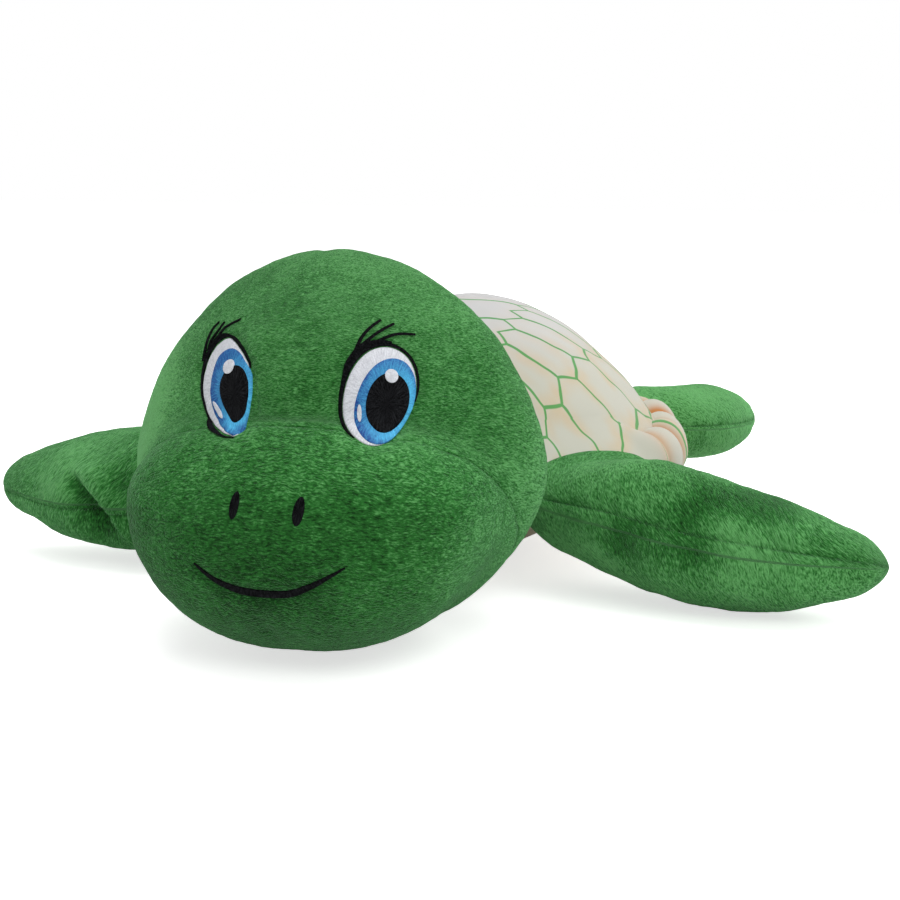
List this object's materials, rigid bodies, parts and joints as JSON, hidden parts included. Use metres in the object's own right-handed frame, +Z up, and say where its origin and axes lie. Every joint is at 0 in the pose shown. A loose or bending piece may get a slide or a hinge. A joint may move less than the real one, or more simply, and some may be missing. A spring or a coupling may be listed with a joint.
{
  "type": "plush sea turtle",
  "caption": "Soft stuffed sea turtle lying on its belly: domed printed shell with a gathered rim, large round head with embroidered eyes and smile, long front flippers and small rear ones.",
  "frame": {"origin": "middle of the belly's flat resting face, on the floor", "axes": "+Z up; the turtle looks along -Y; +X is its own left side"},
  "size_m": [0.358, 0.324, 0.1311],
  "materials": {
    "green_pile": "short minky pile, brushed, pale sheen at grazing angles",
    "printed_shell_fabric": "short smooth pile printed with green scute lines",
    "cream_pile": "short pile",
    "polyester_filling": "loose fibre",
    "black_thread": "satin stitch",
    "white_thread": "satin stitch",
    "blue_thread": "satin stitch"
  },
  "bodies": {
    "torso": {"shell_dome": "printed_shell_fabric", "shell_gathered_rim": "printed_shell_fabric", "belly_panel": "cream_pile", "body_filling": "polyester_filling"},
    "neck": {"neck_sleeve": "green_pile", "neck_filling": "polyester_filling"},
    "head": {"head_forehead_panel": "green_pile", "head_back_panel": "green_pile", "head_muzzle_panel": "green_pile", "head_filling": "polyester_filling", "left_eye_outline": "black_thread", "left_eye_white": "white_thread", "left_eye_iris": "blue_thread", "left_eye_pupil": "black_thread", "left_eye_large_glint": "white_thread", "left_eye_small_glint": "white_thread", "right_eye_outline": "black_thread", "right_eye_white": "white_thread", "right_eye_iris": "blue_thread", "right_eye_pupil": "black_thread", "right_eye_large_glint": "white_thread", "right_eye_small_glint": "white_thread", "left_nostril": "black_thread", "right_nostril": "black_thread", "mouth": "black_thread"},
    "front_left_flipper": {"front_left_flipper_top_panel": "green_pile", "front_left_flipper_bottom_panel": "green_pile", "front_left_flipper_filling": "polyester_filling"},
    "front_right_flipper": {"front_right_flipper_top_panel": "green_pile", "front_right_flipper_bottom_panel": "green_pile", "front_right_flipper_filling": "polyester_filling"},
    "rear_left_flipper": {"rear_left_flipper_top_panel": "green_pile", "rear_left_flipper_bottom_panel": "green_pile", "rear_left_flipper_filling": "polyester_filling"},
    "rear_right_flipper": {"rear_right_flipper_top_panel": "green_pile", "rear_right_flipper_bottom_panel": "green_pile", "rear_right_flipper_filling": "polyester_filling"}
  },
  "joints": [
    {"name": "neck_turn", "type": "hinge", "parent": "torso", "child": "neck", "pos_m": [0, -0.077, 0.048], "axis": [0, 0, 1], "range_deg": [-15, 15], "stiffness_Nm_per_rad": 0.8},
    {"name": "head_nod", "type": "hinge", "parent": "neck", "child": "head", "pos_m": [0, -0.077, 0.048], "axis": [-1, 0, 0], "range_deg": [-5, 20], "stiffness_Nm_per_rad": 0.8},
    {"name": "front_left_flap", "type": "hinge", "parent": "torso", "child": "front_left_flipper", "pos_m": [0.06389, -0.03972, 0.042], "axis": [-0.6744, -0.7384, 0], "range_deg": [-15, 30], "stiffness_Nm_per_rad": 0.3},
    {"name": "front_right_flap", "type": "hinge", "parent": "torso", "child": "front_right_flipper", "pos_m": [-0.06389, -0.03972, 0.042], "axis": [-0.6744, 0.7384, 0], "range_deg": [-15, 30], "stiffness_Nm_per_rad": 0.3},
    {"name": "rear_left_flap", "type": "hinge", "parent": "torso", "child": "rear_left_flipper", "pos_m": [0.05142, 0.06282, 0.042], "axis": [0.7582, -0.6521, 0], "range_deg": [-15, 30], "stiffness_Nm_per_rad": 0.15},
    {"name": "rear_right_flap", "type": "hinge", "parent": "torso", "child": "rear_right_flipper", "pos_m": [-0.05142, 0.06282, 0.042], "axis": [0.7582, 0.6521, 0], "range_deg": [-15, 30], "stiffness_Nm_per_rad": 0.15}
  ]
}
